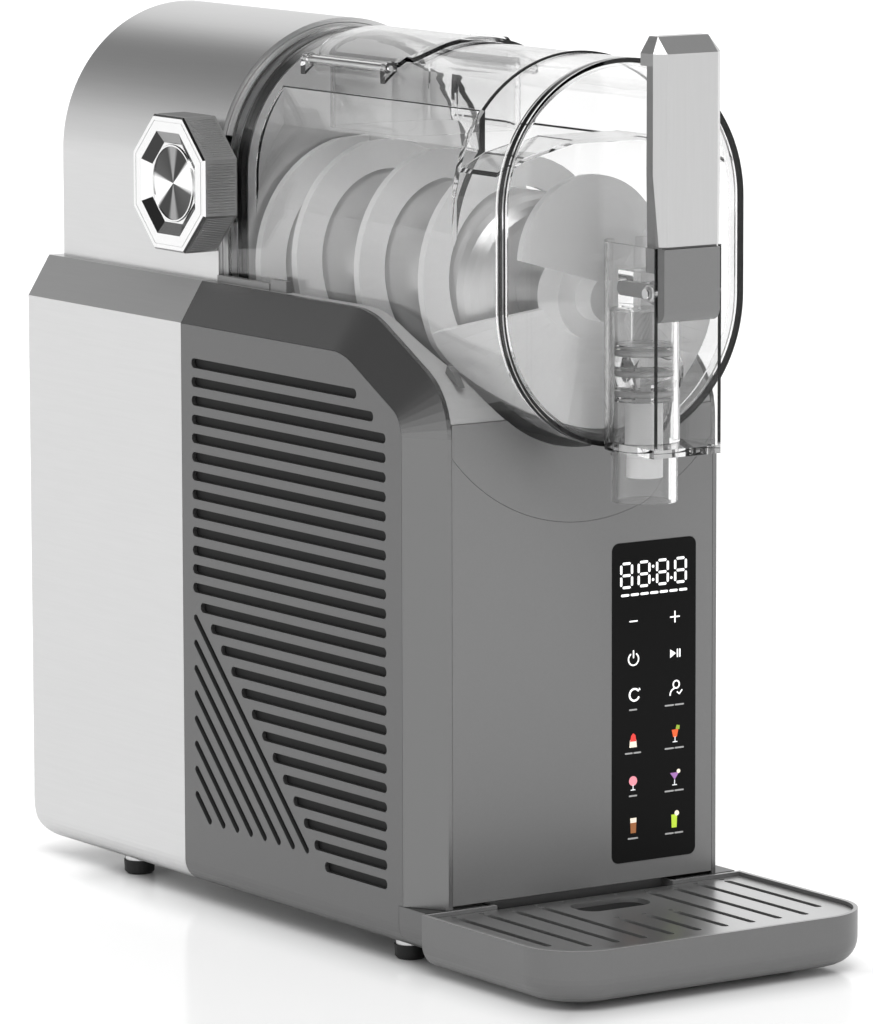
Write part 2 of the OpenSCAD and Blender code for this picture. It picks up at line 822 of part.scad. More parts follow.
module vessel() {
    t = clear_wall;
    color("white", 0.4) at_face() difference() {
        union() {
            along_y(notch_front, notch_back) vessel_section(0);
            along_y(vessel_front, notch_front + t) end_section(0);
            along_y(notch_back - t, vessel_back) end_section(0);
            along_y(vessel_back - 7, vessel_back) end_section(-0.9);
            // Collar round the filling port, and the two lugs of the lid's hinge.
            lug(103, 107.5);
            lug(177, 181.5);
            // Catch behind which the hook of the lock closes.
            block([-vault_r, vessel_back - 1, 366.5], [-vault_r + clear_wall, 221, 371.5]);
            block([-vault_r, 217, 366.5], [-65.5, 221, 371.5]);
        }
        difference() {
            along_y(notch_front - 1, notch_back + t) vessel_section(t);
            port_skirt(0);
        }
        difference() {
            along_y(vessel_front - 1, notch_front) end_section(t);
            // Level roof over the drink behind the cap, rounded down at both sides.
            along_y(vessel_front + 6, notch_front + 1) difference() {
                roof_band(0);
                roof_band(2);
            }
        }
        along_y(notch_back, vessel_back + 1) end_section(t);
        port_skirt(-t);
        rod_y(lid_hinge[0], lid_hinge[1], 1.42, 100, 184);
    }
}

module port_skirt(grow) {
    translate([0, 0, roof_z - 7]) linear_extrude(60)
        rounded([-port_half - grow, port_front - grow], [port_half + grow, port_back + grow], 14 + grow);
}

// Region under the level roof, lowered by t.
module roof_band(t)
    polygon([[-80, 340], [80, 340], [80, roof_z - 20 - t], [53, roof_z - 7 - t],
             [24, roof_z - t], [-24, roof_z - t], [-53, roof_z - 7 - t], [-80, roof_z - 20 - t]]);

module lug(y0, y1) {
    along_y(y0, y1) {
        translate(lid_hinge) circle(3.6);
        translate([lid_hinge[0] - 3.6, lid_hinge[1] - 9]) square([7.2, 9]);
    }
}

module vessel_seal() {
    r = vault_r - clear_wall;
    front = housing_front - bulkhead_t - boss_len + 1.3;
    color("black") at_face() along_y(front, front + 3.6) difference() {
        obround(r - 0.1, vault_z, axis_z);
        obround(r - 5.3, vault_z, axis_z);
    }
}

module front_gasket() {
    color("black") at_face() along_y(vessel_front - gasket_t, vessel_front) difference() {
        end_section(0);
        end_section(clear_wall);
    }
}

// The clear front of the vessel: a flat plate with a lip that fits inside the vessel.
module front_cap() {
    lip = clear_wall + 0.15;
    color("white", 0.4) at_face() difference() {
        union() {
            along_y(cap_front, cap_front + cap_t) end_section(0);
            along_y(cap_front + cap_t, vessel_front + 4) end_section(lip);
        }
        along_y(cap_front + cap_t, vessel_front + 5) end_section(lip + 1.6);
        rod_y(0, 300, 11, cap_front - 1, cap_front + cap_t + 1);
    }
}

module lid() {
    t = lid_t;
    color("white", 0.4) at_face() {
        difference() {
            union() {
                intersection() {
                    along_y(90, 190) translate([0, vault_z]) difference() {
                        circle(lid_r + t);
                        circle(lid_r);
                    }
                    translate([0, 0, 420]) linear_extrude(60) difference() {
                        rounded([lid_hinge[0] + 5, 93.5], [47, 188.5], 16);
                        translate([-60, 80]) square([24, 24]);
                    }
                }
                // Knuckle on the hinge rod.
                rod_y(lid_hinge[0], lid_hinge[1], 2.8, 108.2, 176.3);
                along_y(108.2, 176.3) translate([lid_hinge[0], lid_hinge[1] - 0.4]) square([8, 3]);
                // Tab that lifts the lid.
                along_x(43.5, 45.7) rounded([129.5, 432], [167.5, 450.8], 5);
            }
            along_y(90, 190) translate([0, vault_z]) circle(lid_r);
            rod_y(lid_hinge[0], lid_hinge[1], 1.45, 100, 184);
        }
    }
}

module lid_hinge_rod() {
    color("silver") at_face() rod_y(lid_hinge[0], lid_hinge[1], 1.4, 103.2, 181.3);
}

// ---- tap ----

module tap_plan(half, front) {
    translate([0, -tap_y]) circle(half);
    translate([-half, front]) square([2 * half, -tap_y - front]);
}

module tap_housing() {
    shelf = 4;
    tube_top = 331;
    color("white", 0.4) at_face() difference() {
        translate([0, 0, tap_bottom]) linear_extrude(tap_top - tap_bottom)
            tap_plan(tap_half, tap_front);
        // Room for the lever between the cheeks, and round the tube.
        difference() {
            translate([0, 0, tap_bottom + shelf]) linear_extrude(200)
                tap_plan(tap_half - cheek_t, tap_front - 5);
            rod_z(0, -tap_y, tube_r + tube_t, 0, tube_top);
            // Passage from the vessel into the tube.
            rod_y(0, 300, 14, cap_front - 30, cap_front);
        }
        rod_z(0, -tap_y, tube_r, tap_bottom - 1, tap_top + 1);
        rod_y(0, 300, 11, -tap_y, 0);
        block([-50, cap_front - seam / 20, 0], [50, 0, 500]);
        rod_x(pivot_y, pivot_z, pin_r + 0.02, -30, 30);
    }
}

module spout() {
    color("white", 0.4) at_face() translate([0, -tap_y, 0]) difference() {
        union() {
            translate([0, 0, spout_bottom]) cylinder(r = 16.2, h = tap_bottom - spout_bottom - 3);
            translate([0, 0, tap_bottom - 3]) cylinder(r = 16.8, h = 3);
        }
        translate([0, 0, spout_bottom - 1]) cylinder(r = 13.4, h = 40);
    }
}

plunger_low = 286;
plunger_high = 314;
ring_levels = [290, 300, 310];
ring_r = 1.5;
ring_centre = tube_r - 0.15 - ring_r;

module plunger() {
    r = tube_r - 0.3;
    head_low = 333;
    head_high = 350;
    color("whitesmoke") at_face() difference() {
        union() {
            translate([0, -tap_y, 0]) rotate_extrude() difference() {
                polygon([[0, plunger_low], [r, plunger_low], [r, plunger_high], [6, plunger_high],
                         [6, head_low], [0, head_low]]);
                for (z = ring_levels) translate([ring_centre, z]) {
                    circle(ring_r + 0.05, $fn = 32);
                    translate([0, -ring_r - 0.05]) square([4, 2 * ring_r + 0.1]);
                }
            }
            block([-9, -tap_y - 8.5, head_low - 2], [9, -tap_y + 8.5, head_high]);
        }
        // Slot in which the lever's cross pin slides as it lifts the plunger.
        along_x(-20, 20) slot([-tap_y - 4.6, pivot_z], [-tap_y + 1, pivot_z], 2 * link_r + 1.6);
        translate([0, -tap_y, plunger_low - 1]) cylinder(r = 4, h = 9);
    }
}

module o_rings() {
    color("black") at_face() for (z = ring_levels) translate([0, -tap_y, z]) rotate_extrude()
        translate([ring_centre, 0]) circle(ring_r, $fn = 32);
}

module plunger_tip() {
    low = 248;
    color("white") at_face() {
        rod_z(0, -tap_y, 9, low, plunger_low);
        rod_z(0, -tap_y, 3.9, plunger_low, plunger_low + 7.5);
    }
}

lever_top = 466.5;
lever_back_low = -76.8;
lever_face_low = -91.1;

// The lever's dark core: grip, front plate of the block, web and the two lifting arms.
module tap_lever() {
    grip_low = 352;
    waist = 400;
    color("dimgray") at_face() difference() {
        union() {
            // Grip, wider above the waist.
            along_x(-16.4, 16.4) polygon([
                [lever_face_low + 2.4, grip_low], [lever_face_low + 2.4, lever_top - 9],
                [lever_face_low + 9, lever_top - 2.4], [-76, lever_top - 2.4],
                [-75.7, waist], [lever_back_low, grip_low]]);
            // Front plate of the block with its round lower edge.
            along_x(-16.6, 16.6) intersection() {
                union() {
                    translate([lever_face_low, 334]) square([6, 30]);
                    translate([lever_face_low + 6, 334]) circle(6);
                }
                translate([lever_face_low, 320]) square([6, 44]);
            }
            along_x(-8, 8) {
                translate([pivot_y, pivot_z]) circle(7);
                translate([lever_face_low + 4, pivot_z - 7]) square([8, 28]);
                translate([pivot_y - 4, pivot_z]) square([8, 20]);
            }
            // Arms to the cross pin in the plunger.
            rod_x(pivot_y, pivot_z, 6, -13.4, 13.4);
            both_sides() along_x(9.6, 13.4) {
                translate([pivot_y, pivot_z - 3.5]) square([-lever_arm, 7]);
                translate([-tap_y, pivot_z]) circle(3.5);
            }
            rod_x(-tap_y, pivot_z, link_r, -11, 11);
        }
        rod_x(pivot_y, pivot_z, pin_r + running, -20, 20);
    }
}

// The silver skin on the front, top and front corners of the grip.
module lever_cover() {
    t = 2.3;
    low = 365.2;
    color("silver") at_face() difference() {
        hull() {
            for (z = [low, 400]) translate([0, 0, z]) linear_extrude(1)
                grip_plan(z == low ? 17.9 : 20, z == low ? 3 : 5, 0);
            translate([0, 0, lever_top - 9]) linear_extrude(1) grip_plan(20, 5, 0);
            block([-15, lever_face_low + 8, lever_top - 1], [15, -76, lever_top]);
        }
        along_x(-16.5, 16.5) polygon([
            [lever_face_low + t, low - 2], [lever_face_low + t, lever_top - 8.9],
            [lever_face_low + 8.9, lever_top - t], [-60, lever_top - t], [-60, low - 2]]);
        block([-30, lever_face_low + 5.2, low - 5], [-16, -60, lever_top - 14]);
        block([16, lever_face_low + 5.2, low - 5], [30, -60, lever_top - 14]);
    }
}

// Plan of the grip: half width w, with front corners cut back by c.
module grip_plan(w, c, inset) {
    back = -75.7 - inset;
    front = lever_face_low + inset;
    polygon([[-w, back], [-w, front + c], [-w + c, front], [w - c, front], [w, front + c], [w, back]]);
}

module pivot_pin() {
    color("silver") at_face() rod_x(pivot_y, pivot_z, pin_r, -tap_half, tap_half);
}

// Return spring: a close coil round the pivot pin, beside the web.
module lever_spring() {
    color("silver") at_face() both_sides() for (i = [0 : 1])
        translate([14.6 + i * 1.7, pivot_y, pivot_z]) rotate([0, 90, 0]) rotate_extrude()
            translate([3.5, 0]) circle(0.8, $fn = 24);
}

// ---- lock knob ----

// An eight-sided solid on the knob's axis from x0 to x1, f0 and f1 across its flats.
module knob_prism(x0, x1, f0, f1)
    translate([x0, knob_y, knob_z]) rotate([0, 90, 0]) rotate(22.5)
        cylinder(r1 = f0 / 2 / cos(22.5), r2 = f1 / 2 / cos(22.5), h = x1 - x0, $fn = 8);

module lock_knob() {
    chamfer = 1;
    groove = 64;                 // thin groove round the face, across its flats
    groove_w = 0.8;
    back = -housing_r - 0.4;
    color("silver") at_face() difference() {
        union() {
            knob_prism(knob_face, knob_face + chamfer, knob_flats - 2 * chamfer, knob_flats);
            knob_prism(knob_face + chamfer, back, knob_flats, knob_flats);
        }
        difference() {
            knob_prism(knob_face - 1, knob_face + 0.5, groove, groove);
            knob_prism(knob_face - 2, knob_face + 1, groove - groove_w, groove - groove_w);
        }
        // Eight-sided dish that slopes down to the disc in the middle.
        knob_prism(knob_face, knob_face + dish_depth, dish_flats, 2 * disc_r + 1);
        rod_x(knob_y, knob_z, disc_r + 0.1, knob_face, knob_face + dish_depth + disc_t);
        rod_x(knob_y, knob_z, 5.02, knob_face, 0);
        rod_x(knob_y, knob_z, 22, knob_face + 14, 0);
    }
}

module knob_disc() {
    face = knob_face + dish_depth - 0.4;
    color("lightgray") at_face() difference() {
        rod_x(knob_y, knob_z, disc_r, face, knob_face + dish_depth + disc_t);
        // Fine groove round the rim of the disc.
        rod_x(knob_y, knob_z, disc_r - 0.5, face - 1, face + 0.25);
    }
}

module lock_shaft() {
    color("silver") at_face() rod_x(knob_y, knob_z, 5, knob_face + dish_depth + disc_t, -62);
}

module lock_cam() {
    hub = 8;
    hook_in = 20;
    hook_out = 24.5;
    color("dimgray") at_face() {
        along_x(-68, -62) translate([knob_y, knob_z]) difference() {
            circle(hub);
            circle(5.02);
        }
        along_x(-68, -65.6) translate([knob_y, knob_z]) {
            difference() {
                translate([-2.5, 0]) square([5, hook_out - 0.2]);
                circle(5.02);
            }
            // Hook: an arc round the shaft, from the spoke towards the vessel.
            intersection() {
                difference() {
                    circle(hook_out);
                    circle(hook_in);
                }
                polygon([[2.5, 0], [2.5, 40], [-40, 40]]);
            }
        }
    }
}

// ---- drip tray ----

// Plan of the tray, moved inwards by t: round front corners and a tongue at the back.
module tray_plan(t, tongue) {
    r = tray_corner - t;
    w = tray_half - t;
    front = -tray_front + t;
    back = tray_back - t;
    translate([-w, front + r]) square([2 * w, back - front - r]);
    translate([-w + r, front]) square([2 * (w - r), r + 1]);
    for (side = [-1, 1]) translate([side * (w - r), front + r]) circle(r);
    if (tongue) translate([-56 + t, -20]) square([112 - 2 * t, 30 - t]);
}

// Outer body of the tray: a section with a round bottom edge carried round its front.
module tray_solid(low) {
    x = tray_half - tray_corner;
    y = -tray_front + tray_corner;
    wall = bend([tray_corner, low], [1, 0], [0, 1], 13);
    side = concat([[0, low]], wall, [[tray_corner, tray_rim], [0, tray_rim]]);
    both_sides() {
        translate([x, y, 0]) rotate_extrude() polygon(side);
        along_y(y, tray_back) translate([x, 0]) polygon(side);
    }
    along_x(-x, x) translate([y, 0]) mirror([1, 0]) polygon(side);
    block([-x, y, low], [x, tray_back, tray_rim]);
}

module drip_tray() {
    low = 3.4;
    color("gray") at_face() difference() {
        union() {
            tray_solid(low);
            translate([0, 0, 12]) linear_extrude(tray_rim - 12) intersection() {
                tray_plan(0, true);
                translate([-56, -20]) square([112, 40]);
            }
        }
        translate([0, 0, low + 2]) linear_extrude(60) tray_plan(14, false);
        translate([0, 0, 14]) linear_extrude(60) tray_plan(4.5, true);
        translate([0, 0, grate_top - grate_t - 0.2]) linear_extrude(60) tray_plan(2.2, true);
    }
}

module tray_foot() {
    color("black") at_face() difference() {
        linear_plan(0, 3.4, 0);
        linear_plan(-1, 5, 3);
    }
}

module linear_plan(z0, z1, t)
    translate([0, 0, z0]) linear_extrude(z1 - z0)
        rounded([-64 + t, -96 + t], [64 - t, -20 - t], 8 - t);

module drip_grate() {
    z0 = grate_top - grate_t;
    color("slategray") at_face() difference() {
        translate([0, 0, z0]) linear_extrude(grate_t) tray_plan(2.6, false);
        translate([0, 0, z0 - 1]) linear_extrude(5) {
            for (i = [-5 : 5]) {
                x = i * grate_pitch;
                rear = abs(i) <= 1 ? -57 : -10.5;
                fore = abs(i) == 5 ? -86 : -97;
                slot([x, rear], [x, fore], 4);
                for (y = [rear + 5.6, -5]) translate([x, y]) circle(1.5, $fn = 24);
            }
            rounded([-21, -34], [21, -12], 9);
        }
    }
}

base_pan();
feet();
left_side_panel();
right_side_panel();
left_bevel();
right_bevel();
front_skirt();
fascia();
cradle_collar();
drum_cradle();
rear_cover();
back_panel();
power_inlet();
deck_rails();
slope_guides();
upper_housing();
bulkhead();
touch_panel();
display_module();
control_board();
power_board();
compressor();
compressor_mounts();
condenser_core();
condenser_tubes();
fan_shroud();
fan_motor();
fan_rotor();
suction_line();
discharge_line();
liquid_line();
gearbox();
drive_motor();
drive_shaft();
shaft_seal();
evaporator_drum();
auger();
vessel();
vessel_seal();
front_gasket();
front_cap();
tap_housing();
spout();
plunger();
plunger_tip();
o_rings();
tap_lever();
lever_cover();
pivot_pin();
lever_spring();
lid();
lid_hinge_rod();
lock_knob();
knob_disc();
lock_shaft();
lock_cam();
drip_tray();
tray_foot();
drip_grate();
panel_screws();
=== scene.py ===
"""Countertop slush machine: looks, small surface detail, camera and light."""

import json
import math

import bpy
from mathutils import Matrix, Vector


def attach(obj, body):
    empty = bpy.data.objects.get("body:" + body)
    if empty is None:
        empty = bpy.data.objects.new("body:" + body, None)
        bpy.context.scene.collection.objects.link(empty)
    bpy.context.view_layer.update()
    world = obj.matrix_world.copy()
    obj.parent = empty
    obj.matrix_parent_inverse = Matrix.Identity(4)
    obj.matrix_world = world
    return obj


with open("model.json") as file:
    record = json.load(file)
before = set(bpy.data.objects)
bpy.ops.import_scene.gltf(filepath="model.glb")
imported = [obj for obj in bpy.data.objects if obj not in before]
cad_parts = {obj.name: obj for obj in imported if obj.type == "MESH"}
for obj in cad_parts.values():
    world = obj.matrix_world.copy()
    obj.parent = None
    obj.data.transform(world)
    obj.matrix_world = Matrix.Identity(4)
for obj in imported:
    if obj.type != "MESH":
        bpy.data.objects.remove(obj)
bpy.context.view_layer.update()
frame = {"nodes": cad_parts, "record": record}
nodes = frame["nodes"]

MM = 0.001
FACE_Y = -0.1315  # the fascia's front plane; shapes below are measured from it


def at(x, y, z):
    """A point in millimetres from the fascia's plane, the machine's middle and the table."""
    return Vector((x * MM, y * MM + FACE_Y, z * MM))


# ---- camera ----

def make_camera():
    """A long lens far off, to the front on the knob's side and a little above."""
    azimuth, elevation, roll = math.radians(-33.836), math.radians(8.383), math.radians(-0.175)
    aim = Vector((-0.04565, -0.0677, 0.2202))
    distance = 3.3495
    forward = Vector((-math.sin(azimuth) * math.cos(elevation),
                      math.cos(azimuth) * math.cos(elevation), -math.sin(elevation)))
    data = bpy.data.cameras.new("camera")
    data.lens = 234.45
    data.sensor_width = 36
    data.clip_end = 50
    cam = bpy.data.objects.new("camera", data)
    bpy.context.scene.collection.objects.link(cam)
    turn = forward.to_track_quat("-Z", "Y").to_matrix() @ Matrix.Rotation(roll, 3, "Z")
    cam.matrix_world = Matrix.Translation(aim - forward * distance) @ turn.to_4x4()
    bpy.context.scene.camera = cam


make_camera()

# ---- materials ----

GRAIN_SCALE = 900
GRAIN_DEPTH = 0.0001


def grey(value):
    """An opaque grey."""
    return (value, value, value, 1)


def add_node(tree, kind, inputs=(), operation=None, data_type=None):
    """A shader node with values for some of its inputs, by name or by number."""
    node = tree.nodes.new("ShaderNode" + kind)
    if operation:
        node.operation = operation
    if data_type:
        node.data_type = data_type
    for key, value in dict(inputs).items():
        node.inputs[key].default_value = value
    return node


def grey_ramp(tree, stops):
    """A colour ramp through greys, from a list of (position, value)."""
    ramp = add_node(tree, "ValToRGB")
    while len(ramp.color_ramp.elements) < len(stops):
        ramp.color_ramp.elements.new(0.5)
    for element, (position, value) in zip(ramp.color_ramp.elements, stops):
        element.position = position
        element.color = grey(value)
    return ramp


def material(name, color, rough=0.4, metal=0.0, grain=0.0, coat=0.0, clear=0.0, ior=1.46,
             glow=0.0, stretch=(1, 1, 1), mottle=0.03, shine=0.5):
    """A Principled surface whose tone and fine relief come from noise."""
    m = bpy.data.materials.new(name)
    m.use_nodes = True
    tree = m.node_tree
    shader = tree.nodes["Principled BSDF"]
    looks = {"Roughness": rough, "Metallic": metal, "Coat Weight": coat, "IOR": ior,
             "Transmission Weight": clear, "Specular IOR Level": shine}
    if glow:
        looks.update({"Emission Color": color, "Emission Strength": glow})
    for key, value in looks.items():
        shader.inputs[key].default_value = value
    coords = add_node(tree, "TexCoord")
    mapping = add_node(tree, "Mapping", {"Scale": stretch})
    noise = add_node(tree, "TexNoise", {"Scale": GRAIN_SCALE, "Detail": 2})
    tone = add_node(tree, "Mix", {"A": [c * (1 - mottle) for c in color[:3]] + [1],
                                  "B": [min(c * (1 + mottle), 1) for c in color[:3]] + [1]},
                    data_type="RGBA")
    tree.links.new(coords.outputs["Object"], mapping.inputs["Vector"])
    tree.links.new(mapping.outputs["Vector"], noise.inputs["Vector"])
    tree.links.new(noise.outputs["Fac"], tone.inputs["Factor"])
    tree.links.new(tone.outputs["Result"], shader.inputs["Base Color"])
    if grain:
        bump = add_node(tree, "Bump", {"Strength": grain, "Distance": GRAIN_DEPTH})
        tree.links.new(noise.outputs["Fac"], bump.inputs["Height"])
        tree.links.new(bump.outputs["Normal"], shader.inputs["Normal"])
    return m


MATERIALS = {
    "silver_paint": material("silver_paint", grey(0.60), 0.30, 0.9, grain=0.05,
                             stretch=(1, 0.03, 1)),
    "grey_body": material("grey_body", grey(0.145), 0.36, 0.75, grain=0.05),
    "dark_bevel": material("dark_bevel", grey(0.19), 0.26, 0.9, grain=0.03),
    "grey_plastic": material("grey_plastic", grey(0.21), 0.34, 0.45, grain=0.04),
    "tray_plastic": material("tray_plastic", grey(0.165), 0.34, 0.3, grain=0.04),
    "black_panel": material("black_panel", grey(0.012), 0.35, shine=0.04),
    "black_rubber": material("black_rubber", grey(0.012), 0.6, grain=0.15),
    "clear_plastic": material("clear_plastic", grey(0.935), 0.015, clear=1.0, ior=1.40,
                              mottle=0.002),
    # Painted light: the white plastic glows a little, which brightens the white parts seen through the
    # clear vessel.
    "white_plastic": material("white_plastic", grey(0.96), 0.36, glow=0.07, grain=0.03),
    "dark_plastic": material("dark_plastic", grey(0.05), 0.42, grain=0.08),
    "silicone": material("silicone", grey(0.8), 0.35, clear=0.3, ior=1.41, grain=0.02),
    "lever_grey": material("lever_grey", grey(0.22), 0.4, 0.3, grain=0.03),
    "grate_metal": material("grate_metal", grey(0.62), 0.3, 0.9, grain=0.02),
    "drum_steel": material("drum_steel", grey(0.62), 0.34, 0.85, grain=0.06,
                           stretch=(0.05, 1, 0.05)),
    "steel": material("steel", grey(0.6), 0.3, 0.95),
    "knob_metal": material("knob_metal", grey(0.8), 0.26, 0.95, grain=0.02),
    "copper": material("copper", (0.6, 0.28, 0.15, 1), 0.3, 0.95),
    "fin_aluminium": material("fin_aluminium", grey(0.6), 0.4, 0.9),
    "black_steel": material("black_steel", grey(0.012), 0.25, 0.2, coat=0.3),
    "board": material("board", (0.01, 0.09, 0.03, 1), 0.4, coat=0.4),
}

SLOT_OF = {row["node"]: row["material_slot"] for row in frame["record"]["subparts"]}

# ---- finish of the CAD nodes ----

# Width in millimetres of the small rounded edge on the pieces where it shows.
EDGES = {"lever_cover": 0.5, "tap_lever": 0.4, "drip_tray": 0.6, "upper_housing": 0.5,
         "rear_cover": 0.4, "left_side_panel": 0.3, "right_side_panel": 0.3, "fascia": 0.3,
         "lock_knob": 0.35, "drip_grate": 0.3, "front_skirt": 0.4}
SHARP_ANGLE = math.radians(28)
EDGE_ANGLE = math.radians(35)
TRAY_EDGE_Z = 30
CLEAR_SEAL_Z = 388


def soften(obj, width):
    """Smooth shading between shallow facets, and small rounded edges that catch the light."""
    for poly in obj.data.polygons:
        poly.use_smooth = True
    obj.data.set_sharp_from_angle(angle=SHARP_ANGLE)
    if width:
        bevel = obj.modifiers.new("edge", "BEVEL")
        bevel.width = width * MM
        bevel.segments = 2
        bevel.limit_method = "ANGLE"
        bevel.angle_limit = EDGE_ANGLE
        bevel.harden_normals = True


def paint_faces(name, mat, chosen):
    """A further material on the faces of a CAD node for which chosen(face) is true."""
    mesh = nodes[name].data
    mesh.materials.append(mat)
    for poly in mesh.polygons:
        if chosen(poly):
            poly.material_index = len(mesh.materials) - 1


for name, obj in nodes.items():
    obj.data.materials.clear()
    obj.data.materials.append(MATERIALS[SLOT_OF[name]])
    soften(obj, EDGES.get(name, 0))

nodes["drum_cradle"].data.materials[0] = material("cradle_grey", grey(0.42), 0.4, 0.1, grain=0.04)
nodes["lever_cover"].data.materials[0] = material("lever_silver", grey(0.53), 0.3, 0.9, grain=0.05,
                                                  stretch=(1, 1, 0.03))
# Painted shade: the lever's two flat sides get a darker copy of its silver.
paint_faces("lever_cover", material("lever_painted_shade", grey(0.25), 0.3, 0.9),
            lambda face: abs(face.normal.x) > 0.9)
# Painted highlight: the tray's level top edge is lighter than its walls.
paint_faces("drip_tray", material("tray_edge_painted_highlight", grey(0.42), 0.3, 0.2),
            lambda face: face.normal.z > 0.9 and face.center.z > TRAY_EDGE_Z * MM)
# The seal's upper part on the knob's side is thin and clear.
paint_faces("front_gasket", MATERIALS["clear_plastic"],
            lambda face: face.center.x < 0 and face.center.z > CLEAR_SEAL_Z * MM)

# ---- helpers for added pieces ----

def add_mesh(name, verts, faces, mat, body):
    """A flat-shaded piece from points and faces in metres, riding on a CAD body."""
    data = bpy.data.meshes.new(name)
    data.from_pydata([tuple(v) for v in verts], [], faces)
    data.update()
    obj = bpy.data.objects.new(name, data)
    bpy.context.scene.collection.objects.link(obj)
    data.materials.append(mat)
    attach(obj, body)
    return obj


def band(sections, closed):
    """Faces of a band through sections of four points each, as a ring or with two ends."""
    count = len(sections) // 4
    faces = []
    for i in range(count if closed else count - 1):
        a, b = 4 * i, 4 * ((i + 1) % count)
        faces += [[a + k, b + k, b + (k + 1) % 4, a + (k + 1) % 4] for k in range(4)]
    if not closed:
        faces += [[0, 1, 2, 3], [4 * (count - 1) + k for k in (3, 2, 1, 0)]]
    return faces


def prisms(name, outlines, y0, y1, mat, body):
    """Flat shapes drawn in X and Z, extruded from y0 (front) back to y1."""
    verts, faces = [], []
    for outline in outlines:
        first, n = len(verts), len(outline)
        verts += [at(x, y0, z) for x, z in outline] + [at(x, y1, z) for x, z in outline]
        faces.append(list(range(first, first + n)))
        faces.append(list(range(first + 2 * n - 1, first + n - 1, -1)))
        faces += [[first + i, first + n + i, first + n + (i + 1) % n, first + (i + 1) % n]
                  for i in range(n)]
    return add_mesh(name, verts, faces, mat, body)


def arc(cx, cz, r, start, end, steps=16):
    """Points on an arc, angles in degrees."""
    angles = [math.radians(start + (end - start) * i / steps) for i in range(steps + 1)]
    return [(cx + r * math.cos(a), cz + r * math.sin(a)) for a in angles]


def stroke(points, width):
    """Outline of a line of even width with round ends through the points."""
    half = width / 2
    left, right = [], []
    for i, (x, z) in enumerate(points):
        x0, z0 = points[max(i - 1, 0)]
        x1, z1 = points[min(i + 1, len(points) - 1)]
        size = math.hypot(x1 - x0, z1 - z0)
        nx, nz = -(z1 - z0) / size * half, (x1 - x0) / size * half
        left.append((x + nx, z + nz))
        right.append((x - nx, z - nz))
    last, first = points[-1], points[0]
    heading = math.degrees(math.atan2(last[1] - points[-2][1], last[0] - points[-2][0]))
    tail = math.degrees(math.atan2(first[1] - points[1][1], first[0] - points[1][0]))
    return (left + arc(*last, half, heading + 90, heading - 90, 6)[1:-1] + right[::-1]
            + arc(*first, half, tail + 90, tail - 90, 6)[1:-1])


def shifted(outline, dx, dz):
    """An outline moved across and up."""
    return [(x + dx, z + dz) for x, z in outline]


# ---- print on the touch panel ----

PRINT_FRONT = -0.42
PRINT_BACK = -0.3
print_white = material("print_white", grey(0.9), 0.4, glow=0.75)


def panel_print(name, outlines, mat=print_white, lift=0.0):
    """Flat shapes on the glass of the touch panel."""
    prisms(name, outlines, PRINT_FRONT - lift, PRINT_BACK, mat, "body")


def digit(cx, low):
    """All seven segments of one digit."""
    half_w, segment, thick = 3.3, 6.05, 1.35
    half_level, gap = 1.8, 1.3
    heights = [low + k * segment for k in range(3)]
    level = [stroke([(cx - half_level, z), (cx + half_level, z)], thick) for z in heights]
    upright = [stroke([(cx + side * half_w, z + gap), (cx + side * half_w, z + segment - gap)], thick)
               for side in (-1, 1) for z in heights[:2]]
    return level + upright


def display():
    """Four eights with their dots, and the row of seven dashes below."""
    shapes = []
    for cx in (25.9, 36.6, 48.0, 59.2):
        shapes += digit(cx, 183.6)
    for x, z in ((42.2, 193.0), (42.2, 186.2), (53.5, 186.2)):
        shapes.append(arc(x, z, 0.75, 0, 330, 11))
    panel_print("display_digits", shapes)
    dash_z, dash_x, dash, pitch = 179.6, 23.1, 3.8, 5.97
    starts = [dash_x + i * pitch for i in range(7)]
    panel_print("display_bar", [stroke([(x, dash_z), (x + dash, dash_z)], 1.3) for x in starts])


def keys():
    """The symbols of the six keys, and plain bars in place of captions."""
    left, right = 30.2, 55.8
    fine, thin, bold = 0.6, 0.75, 0.8
    symbols = [
        # Less and more.
        (left, 166.1, [stroke([(-2.2, 0), (2.2, 0)], thin)]),
        (right, 166.1, [stroke([(-2.7, 0), (2.7, 0)], thin), stroke([(0, -2.7), (0, 2.7)], thin)]),
        # Power, and start with pause.
        (left, 146.8, [stroke(arc(0, 0, 3.1, 125, 415, 24), thin), stroke([(0, 0.8), (0, 4.2)], thin)]),
        (right, 147.4, [[(-2.9, -2.2), (-2.9, 2.2), (0.6, 0)],
                        stroke([(1.6, -1.8), (1.6, 1.8)], bold),
                        stroke([(3.1, -1.8), (3.1, 1.8)], bold)]),
        # An open ring with a short hand, and a figure with a tick.
        (left, 128.6, [stroke(arc(0.6, 0, 3.0, 40, 330, 24), 1.0),
                       stroke([(3.6, 3.0), (3.9, 2.3)], fine)]),
        (right, 128.6, [stroke(arc(0.9, 2.8, 1.9, 0, 350, 20), thin),
                        stroke(arc(0.4, -2.4, 3.3, 180, 105, 8), thin),
                        stroke([(1.6, -1.2), (2.8, -2.2), (4.4, -0.4)], thin)]),
    ]
    panel_print("key_symbols", [shifted(outline, cx, cz) for cx, cz, outlines in symbols
                                for outline in outlines])
    # Height of each row of captions, with the widths of its left and right one.
    rows = {121.0: (5.4, 12.4), 98.9: (10.4, 12.4), 77.0: (5.6, 12.4), 55.2: (6.8, 11.8)}
    longest, gap_before, gap_after = 8, 0.4, 0.9
    bars = []
    for z, widths in rows.items():
        for cx, width in zip((left, right), widths):
            parts = 1 if width < longest else 2
            span = width / parts
            for i in range(parts):
                x0 = cx - width / 2 + i * span
                bars.append(stroke([(x0 + gap_before, z), (x0 + span - gap_after, z)], bold))
    panel_print("key_captions", bars, material("print_grey", grey(0.42), 0.5, glow=0.25))


